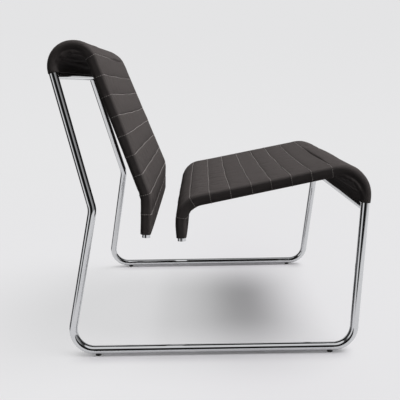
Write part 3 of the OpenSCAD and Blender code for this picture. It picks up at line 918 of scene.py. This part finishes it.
def wire(tree, socket, value):
    """Link a signal to a socket, or set the socket to a plain value."""
    if isinstance(value, Signal):
        tree.links.new(value.socket, socket)
    else:
        socket.default_value = value


class Finish:
    """A material: constants on its shader, expressions for what changes over the surface."""

    def __init__(self, name, **constants):
        self.material = bpy.data.materials.new(name)
        self.material.use_nodes = True
        self.tree = self.material.node_tree
        self.shader = self.tree.nodes["Principled BSDF"]
        for label, value in constants.items():
            self.shader.inputs[label.replace("_", " ")].default_value = value

    def node(self, kind, output=0, settings=None, stops=None, **sockets):
        """One node's output, by its number among those in use or by its name. The settings
        come first, then the values or links of its sockets."""
        node = self.tree.nodes.new("ShaderNode" + kind)
        for key, value in (settings or {}).items():
            setattr(node, key, value)
        if stops:
            ramp = node.color_ramp
            while len(ramp.elements) < len(stops):
                ramp.elements.new(0.5)
            for element, (place, colour) in zip(ramp.elements, stops):
                element.position, element.color = place, colour
        for key, value in sockets.items():
            name = key.replace("_", " ")
            wire(self.tree, [s for s in node.inputs if s.name == name and s.enabled][0], value)
        outputs = node.outputs if isinstance(output, str) else [s for s in node.outputs if s.enabled]
        return Signal(self.tree, outputs[output])

    def mix(self, share, first, second):
        """A colour between two others."""
        return self.node("Mix", settings={"data_type": "RGBA"}, Factor=share, A=first, B=second)

    def mix_shader(self, share, first, second):
        """A shader between two others, whose sockets have the same name."""
        mixed = self.node("MixShader", Fac=share)
        for socket, shader in zip(mixed.socket.node.inputs[1:], (first, second)):
            wire(self.tree, socket, shader)
        return mixed

    def fade(self, value, low, high, kind="SMOOTHSTEP"):
        """A share that grows from 0 to 1 while the value goes from low to high."""
        return self.node("MapRange", settings={"interpolation_type": kind}, Value=value,
                         From_Min=low, From_Max=high, To_Min=0.0, To_Max=1.0)

    def paled(self, value, low, high, first, second):
        """A grey that goes evenly from a first level at low to a second one at high."""
        return self.mix(self.fade(value, low, high, "LINEAR"), grey(first), grey(second))

    def ray(self, kind):
        """1 for the rays of that kind: those that the camera sends, or that come off gloss."""
        return self.node("LightPath", output="Is " + kind + " Ray")

    def xyz(self, place):
        return [self.node("SeparateXYZ", axis, Vector=place) for axis in range(3)]

    def place(self):
        """The place on the piece, in metres."""
        return self.node("TexCoord", output="Object")

    def noise(self, where, scale, detail=2.0, roughness=0.5):
        return self.node("TexNoise", Vector=where, Scale=scale, Detail=detail, Roughness=roughness)

    def stretched(self, where, scale):
        return self.node("Mapping", Vector=where, Scale=scale)

    def bump(self, height, distance, strength=1.0, below=None):
        sockets = dict(Height=height, Distance=distance, Strength=strength)
        if below is not None:
            sockets["Normal"] = below
        return self.node("Bump", **sockets)

    def set(self, **values):
        for label, value in values.items():
            wire(self.tree, self.shader.inputs[label.replace("_", " ")], value)


def grey(level):
    return (level, level, level * 1.01, 1.0)


def shade(red, green, blue):
    """A display colour of 0 to 255 as the light values that a shader uses."""
    parts = [c / 255 for c in (red, green, blue)]
    return tuple(c / 12.92 if c <= 0.04045 else ((c + 0.055) / 1.055) ** 2.4 for c in parts) + (1.0,)


print("shader maths is ready, one half as a light value:", round(shade(128, 128, 128)[0], 3))

# %% [markdown]
# ## Upholstery
# The cover is a dull charcoal weave. A photograph of cloth would do, but it repeats, so the
# threads are worked out instead. At each place either the warp or the weft lies on top, as
# on a chessboard. Its round back is bumped, and its colour darkens towards its edges as
# painted shade between the threads. The weave follows the sleeve's own map, so the threads
# run across and along it round every bend.

# %% Upholstery fabric
def woven_fabric(name, colour, pale, dark, thread_pitch, depth):
    """A plain weave of dull threads, with a little wool-like mottling, and painted shade between the
    threads.
    """
    cloth = Finish(name, Specular_IOR_Level=0.05)
    weave_map = cloth.node("UVMap", settings={"uv_map": "weave"})
    across, along, _ = cloth.xyz(weave_map)
    warp_at, weft_at = across / thread_pitch, along / thread_pitch
    over = ((warp_at.floor() + weft_at.floor()) * 0.5).fraction() * 2
    warp, weft = ((place * math.pi).sine().size() for place in (warp_at, weft_at))
    threads = over * warp + (1 - over) * weft
    where = cloth.place()
    slub = cloth.noise(cloth.stretched(weave_map, (90, 900, 1)), 1.0, 3.0)
    mottle = cloth.noise(where, 42, 4.0, 0.6)
    tone = cloth.mix(mottle * 0.75 + slub * 0.25, dark, pale)
    worn = cloth.mix(cloth.noise(where, 7) * 0.35, tone, colour)
    # Painted shade: the colour darkens towards the edges of the thread on top, between the threads.
    shade_between_threads = cloth.mix((1 - threads) * 0.38, worn, dark)
    grain = cloth.bump(threads * 0.8 + slub * 0.25, depth, 0.55)
    soft = cloth.bump(cloth.noise(where, 26), 0.5 * MM, 0.35, grain)
    cloth.set(Base_Color=shade_between_threads, Roughness=0.82 + mottle * 0.12, Normal=soft)
    return cloth.material


charcoal = woven_fabric("charcoal_weave", shade(86, 81, 80), shade(95, 90, 89), shade(71, 67, 66),
                        0.9 * MM, 0.18 * MM)
print(charcoal.name, "has", len(charcoal.node_tree.nodes), "nodes")

# %% [markdown]
# ## Ribbon and thread
# The strips at the free ends are black ribbed ribbon: plain stripes across, with some fuzz.
# The thread is paler than the fabric, and each stitch is a little different. Both could be
# one flat colour, but close up that looks like paint.

# %% Binding ribbon
def ribbed_ribbon():
    ribbon = Finish("black_binding", Specular_IOR_Level=0.3, Sheen_Weight=0.1)
    x, _, _ = ribbon.xyz(ribbon.place())
    ribs = (x * (math.pi / (0.8 * MM))).sine().size()
    fuzz = ribbon.noise(ribbon.place(), 180, 3.0)
    ribbon.set(Base_Color=ribbon.mix(fuzz * 0.7 + ribs * 0.3, shade(34, 32, 31), shade(58, 55, 53)),
               Roughness=0.72 + fuzz * 0.15, Normal=ribbon.bump(ribs * 0.7 + fuzz * 0.3, 0.2 * MM, 0.7))
    return ribbon.material


binding = ribbed_ribbon()


# %% Thread
def twisted_thread():
    thread = Finish("pale_thread", Specular_IOR_Level=0.35, Sheen_Weight=0.2)
    ply = thread.noise(thread.place(), 1400, 2.0)
    shade_by = thread.noise(thread.place(), 30, 1.0)
    share = ply * 0.6 + shade_by * 0.4
    thread.set(Base_Color=thread.mix(share, shade(138, 132, 130), shade(178, 172, 169)),
               Roughness=0.55 + ply * 0.2, Normal=thread.bump(ply, 0.15 * MM, 0.6))
    return thread.material


pale_thread = twisted_thread()
seams_tree = sewing_tree(pale_thread)
seat_stitches = sew("seat_stitches", seat_seams, seat_seam_normals, seams_tree)
back_stitches = sew("back_stitches", back_seams, back_seam_normals, seams_tree)


# %% [markdown]
# ## Metal and plastic
# The tubes and cross bars are chromed, the spreader bars and screws inside the sleeves are
# plain steel, and the glides and plugs are black nylon. New metal could be a perfect mirror,
# but real chrome has faint ripples, marks and smudges, which show only in what it reflects.

# %% Chrome, steel and plastic
def polished_chrome():
    """Chromed tube: near mirror, with faint polishing marks and hand smudges."""
    chrome = Finish("polished_chrome", Metallic=1.0, Specular_IOR_Level=0.5)
    where = chrome.place()
    smudge = chrome.noise(where, 14, 3.0, 0.55)
    fine_marks = chrome.noise(where, 900, 2.0)
    ripple = chrome.noise(where, 9, 1.0)
    chrome.set(Base_Color=chrome.mix(smudge, shade(198, 199, 201), shade(207, 208, 209)),
               Roughness=0.035 + smudge * 0.06,
               Normal=chrome.bump(ripple * 0.9 + fine_marks * 0.01, 0.2 * MM, 0.35))
    return chrome.material


def brushed_steel():
    """Zinc-plated steel: brushed along its length, with dull specks."""
    steel = Finish("brushed_steel", Metallic=1.0)
    where = steel.place()
    lines = steel.noise(steel.stretched(where, (8, 500, 500)), 1.0, 4.0)
    specks = steel.noise(where, 60, 3.0)
    steel.set(Base_Color=steel.mix(specks, shade(165, 166, 168), shade(196, 196, 198)),
              Roughness=0.28 + lines * 0.2 + specks * 0.08, Normal=steel.bump(lines, 0.1 * MM, 0.4))
    return steel.material


def moulded_plastic():
    """Black nylon: fine moulded grain, scuffed paler in places."""
    nylon = Finish("black_nylon", Specular_IOR_Level=0.45)
    where = nylon.place()
    grain = nylon.noise(where, 1600, 2.0)
    scuff = nylon.noise(where, 120, 3.0)
    nylon.set(Base_Color=nylon.mix(scuff, shade(24, 24, 25), shade(44, 43, 43)),
              Roughness=0.42 + scuff * 0.22, Normal=nylon.bump(grain, 0.08 * MM, 0.5))
    return nylon.material


finishes = {"chrome": polished_chrome(), "steel": brushed_steel(), "black_plastic": moulded_plastic()}
finished = []
for subpart in frame["record"]["subparts"]:
    finish = finishes.get(subpart["material_slot"])
    if finish:
        node = bpy.data.objects[subpart["node"]]
        node.data.materials.clear()
        node.data.materials.append(finish)
        finished.append(node)
print("pieces of metal and plastic:", len(finished))

# %% [markdown]
# ## What stands for what
# The frame came with plain stand-ins for the soft parts. Ours take their place: the stand-ins
# are hidden, each new piece gets its material, and each rides on the chair's one body.

# %% Put our pieces in place of the stand-ins
for sleeve in (seat_sleeve, back_sleeve):
    sleeve.data.materials.append(charcoal)
for strip in (seat_strip, back_strip):
    strip.data.materials.append(binding)
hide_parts("seat_cover", "seat_foam_upper", "seat_foam_lower", "seat_sling")
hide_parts("back_cover", "back_foam_front", "back_foam_rear", "back_sling")
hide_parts("seat_hem_strip")
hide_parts("back_hem_strip")
for piece, slot in ((seat_sleeve, "upholstery"), (back_sleeve, "upholstery"), (seat_strip, "binding"),
                    (back_strip, "binding"), (seat_stitches, "upholstery"), (back_stitches, "upholstery")):
    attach(piece, "root")
print("soft pieces placed on the frame")

# %% [markdown]
# ## The studio
# A pale floor that fades into a pale surround has no horizon. Chrome shows only what is
# around it, so the surround has a dark room behind the camera, and bright panels at its
# sides. Only reflections see those; the camera sees plain pale paper.

# %% Floor
# The paper is exposed almost to white, so a share of the pale surround shows through it,
# least right under the seat and beside the rails, and the chair's shadow stays soft.
LEAST_SEEN, MOST_SEEN, SHADOW_Y, SHADOW_SIZE = 0.24, 0.86, -0.122, 0.15
BESIDE_RAIL, PAST_RAIL, RAIL_SHADOW = (0.012, 0.05), (0.27, 0.36), 0.76
# How far from the chair the paper fades out, as the camera and as the chrome see it.
SEEN_FADE, MIRRORED_FADE = (0.95, 2.6), (1.2, 1.7)
# How pale the surround looks near the chair, at the rim of the floor and above the horizon.
NEAR_PALE, RIM_PALE, HIGH_PALE = 0.82, 0.795, 0.775


def pale_paper():
    """Paper that gives way to the surround. The camera sees the surround's own colour there,
    written out as light, because a floor that is half clear would leave a line in a picture
    that is cleaned of noise."""
    paper = Finish("pale_paper", Roughness=0.9, Specular_IOR_Level=0.1)
    paper.set(Base_Color=shade(217, 215, 219))
    x, y, _ = paper.xyz(paper.place())
    radius = (x * x + y * y) ** 0.5
    from_seat = (x * 0.35) ** 2 + (y - SHADOW_Y) ** 2
    through = LEAST_SEEN + (MOST_SEEN - LEAST_SEEN) * (from_seat / (from_seat + SHADOW_SIZE**2))
    beside_rail = paper.fade((x.size() - HALF_SPAN).size(), *BESIDE_RAIL)
    past_rail = paper.fade(y.size(), *PAST_RAIL)
    through = through * (1 - RAIL_SHADOW * (1 - beside_rail) * (1 - past_rail))
    mirrored = paper.ray("Glossy")
    faded = mirrored * paper.fade(radius, *MIRRORED_FADE) + (1 - mirrored) * paper.fade(radius, *SEEN_FADE)
    dull = paper.node("BsdfDiffuse", Color=shade(100, 100, 101))
    lit = paper.mix_shader(paper.ray("Diffuse"), Signal(paper.tree, paper.shader.outputs[0]), dull)
    seen = paper.node("Emission", Color=paper.paled(radius, 0.1, 2.4, NEAR_PALE, RIM_PALE))
    clear = paper.mix_shader(paper.ray("Camera"), paper.node("BsdfTransparent"), seen)
    floor_shader = paper.mix_shader(through + (1 - through) * faded, lit, clear)
    wire(paper.tree, paper.tree.nodes["Material Output"].inputs["Surface"], floor_shader)
    return paper.material


bpy.ops.mesh.primitive_circle_add(vertices=96, radius=4.0, fill_type="NGON")
floor = bpy.context.object
floor.name = "studio_floor"
floor.data.materials.append(pale_paper())
print("floor of paper,", round(floor.dimensions.x, 1), "m across")

# %% [markdown]
# ## The surround
# A world of one colour would make chrome look like grey plastic. Here the camera sees plain
# pale paper, the fabric gets a soft fill that is stronger from the window's side, and gloss
# sees a room: bright panels, a dark gap for the camera, a ceiling with one softbox, and the
# paper on the floor. Ramps by the direction round the room keep all that in a few numbers.

# %% Surround
class Surround(Finish):
    """The world's nodes, written in the same way as a finish."""

    def __init__(self):
        world = bpy.data.worlds.new("studio")
        bpy.context.scene.world = world
        world.use_nodes = True
        self.tree = world.node_tree
        self.direction = self.xyz(self.node("TexCoord", output="Generated"))
        dx, dy, _ = self.direction
        self.round_share = (dy * -1).angle_to(dx * -1) * (0.5 / math.pi) + 0.5

    def ring(self, levels):
        """A grey by the direction round the room, in degrees: 0 is behind the camera, and
        positive is its right."""
        stops = [(0.5 + degrees / 360, grey(level)) for degrees, level in levels]
        return self.node("ValToRGB", Fac=self.round_share, stops=stops)


WALLS = [(-180, 0.74), (-150, 0.72), (-140, 0.05), (-77, 0.03), (-67, 0.95), (-46, 0.95), (-37, 0.10),
         (-25, 0.015), (0, 0.006), (26, 0.015), (36, 0.46), (56, 0.42), (66, 0.26), (80, 0.22), (92, 0.03),
         (125, 0.03), (150, 0.3), (165, 0.7), (180, 0.72)]
# The paper lies on the floor all round, and reaches less far at the left and behind.
PAPER_ENDS = [(-180, 0.33), (-95, 0.33), (-62, 0.11), (-20, 0.11), (6, 0.03), (180, 0.03)]
PANEL_PALE, CEILING_PALE = 0.95, 0.07
SOFTBOX_UP, SOFTBOX_EDGE, SOFTBOX_CORE = (math.radians(angle) for angle in (75, 34, 26))
NEAR_FILL, FAR_FILL = 0.08, 0.17
surround = Surround()
dx, dy, dz = surround.direction
room = surround.mix(surround.fade(dz, 0.42, 0.68), surround.ring(WALLS), grey(CEILING_PALE))
to_softbox = dx * -math.cos(SOFTBOX_UP) + dz * math.sin(SOFTBOX_UP)
softbox = surround.fade(to_softbox, math.cos(SOFTBOX_EDGE), math.cos(SOFTBOX_CORE))
room = surround.mix(softbox, room, grey(PANEL_PALE))
below = surround.fade(dz * -1 - surround.ring(PAPER_ENDS), 0.0, 0.06)
room = surround.mix(below, room, grey(PANEL_PALE))
fill = surround.mix(surround.fade(dx - dy, -0.7, 0.5), grey(NEAR_FILL), grey(FAR_FILL))
backdrop = surround.paled(dz, -0.118, 0.1, RIM_PALE, HIGH_PALE)
unseen = surround.mix(surround.ray("Glossy"), fill, room)
background = surround.tree.nodes["Background"]
wire(surround.tree, background.inputs["Color"], surround.mix(surround.ray("Camera"), unseen, backdrop))
print("surround has", len(surround.tree.nodes), "nodes")

# %% [markdown]
# ## Lamps
# The chair is lit evenly from above, and a little from the front, low down, so that the
# seat's front edge doesn't go black. Two wide, far lamps do that, and their width keeps the
# shadow soft. Chrome doesn't see them, because a round sun in it would look like a hole.

# %% Lamps
def soft_lamp(name, comes_from, share, spread):
    """A wide, far lamp. With a share of 1, a colour shows as it is written where the light
    falls straight on."""
    data = bpy.data.lights.new(name, "SUN")
    data.energy = share * math.pi
    data.angle = math.radians(spread)
    lamp = bpy.data.objects.new(name, data)
    lamp.rotation_euler = Vector(comes_from).to_track_quat("Z", "Y").to_euler()
    lamp.location = Vector(comes_from) * 3
    lamp.visible_glossy = False
    bpy.context.scene.collection.objects.link(lamp)
    return lamp


soft_lamp("overhead_light", (0.06, -0.42, 0.9), 1.02, 40)
soft_lamp("low_front_light", (-0.1, -0.99, 0.02), 0.17, 30)

# %% [markdown]
# ## Camera
# The camera stands at the chair's near side, a little above the seat, and looks slightly
# down. A photograph of this kind is taken from rather close by, which is why the far side
# frame looks smaller.

# %% Camera
CAMERA_PLACE = Vector((-1.3423, 0.0291, 0.6360))
LOOKS_DOWN, LOOKS_ASIDE, ROLLED = math.radians(13.56), -0.0005, -0.0162
LENS, FILM = 43.2, 36


def aim(place, down, aside, roll):
    """The camera's place and turn, from where it looks."""
    level = Vector((math.cos(aside), math.sin(aside), 0))
    forward = level * math.cos(down) - Vector((0, 0, math.sin(down)))
    right = forward.cross(Vector((0, 0, 1))).normalized()
    up = right.cross(forward)
    rolled_right = math.cos(roll) * right + math.sin(roll) * up
    rolled_up = math.cos(roll) * up - math.sin(roll) * right
    turn = Matrix((rolled_right, rolled_up, -forward)).transposed().to_4x4()
    return Matrix.Translation(place) @ turn


data = bpy.data.cameras.new("camera")
data.lens, data.sensor_width, data.sensor_fit = LENS, FILM, "HORIZONTAL"
camera = bpy.data.objects.new("camera", data)
camera.matrix_world = aim(CAMERA_PLACE, LOOKS_DOWN, LOOKS_ASIDE, ROLLED)
bpy.context.scene.collection.objects.link(camera)
bpy.context.scene.camera = camera
bpy.context.scene.view_settings.view_transform = "Standard"
print("camera at", [round(v, 3) for v in camera.location])
